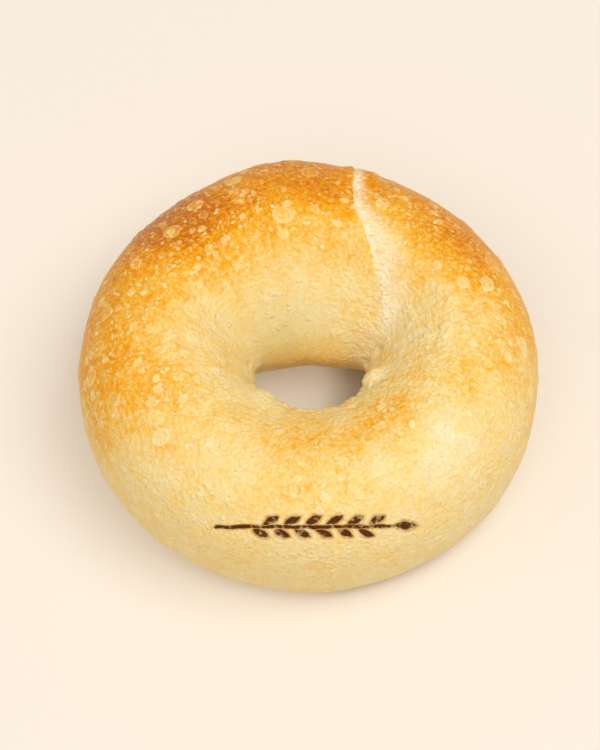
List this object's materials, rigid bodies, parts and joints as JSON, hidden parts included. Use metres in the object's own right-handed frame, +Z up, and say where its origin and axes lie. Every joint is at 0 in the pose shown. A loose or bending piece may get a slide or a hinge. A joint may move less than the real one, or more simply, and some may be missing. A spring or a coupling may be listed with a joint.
{
  "type": "bagel",
  "caption": "Plain puffy bagel, rolled by hand with lapped ends at the back and a small D-shaped hole, flat underneath.",
  "frame": {"origin": "on the resting plane, under the middle of the bagel's box", "axes": "+Z up, away from the flat underside; +Y towards the side where the rope's ends are lapped; +X to the right seen from the front"},
  "size_m": [0.1, 0.0978, 0.0433],
  "materials": {
    "crust": "satin baked crust, golden to pale, with fine blisters"
  },
  "bodies": {
    "root": {"bagel": "crust"}
  },
  "joints": []
}
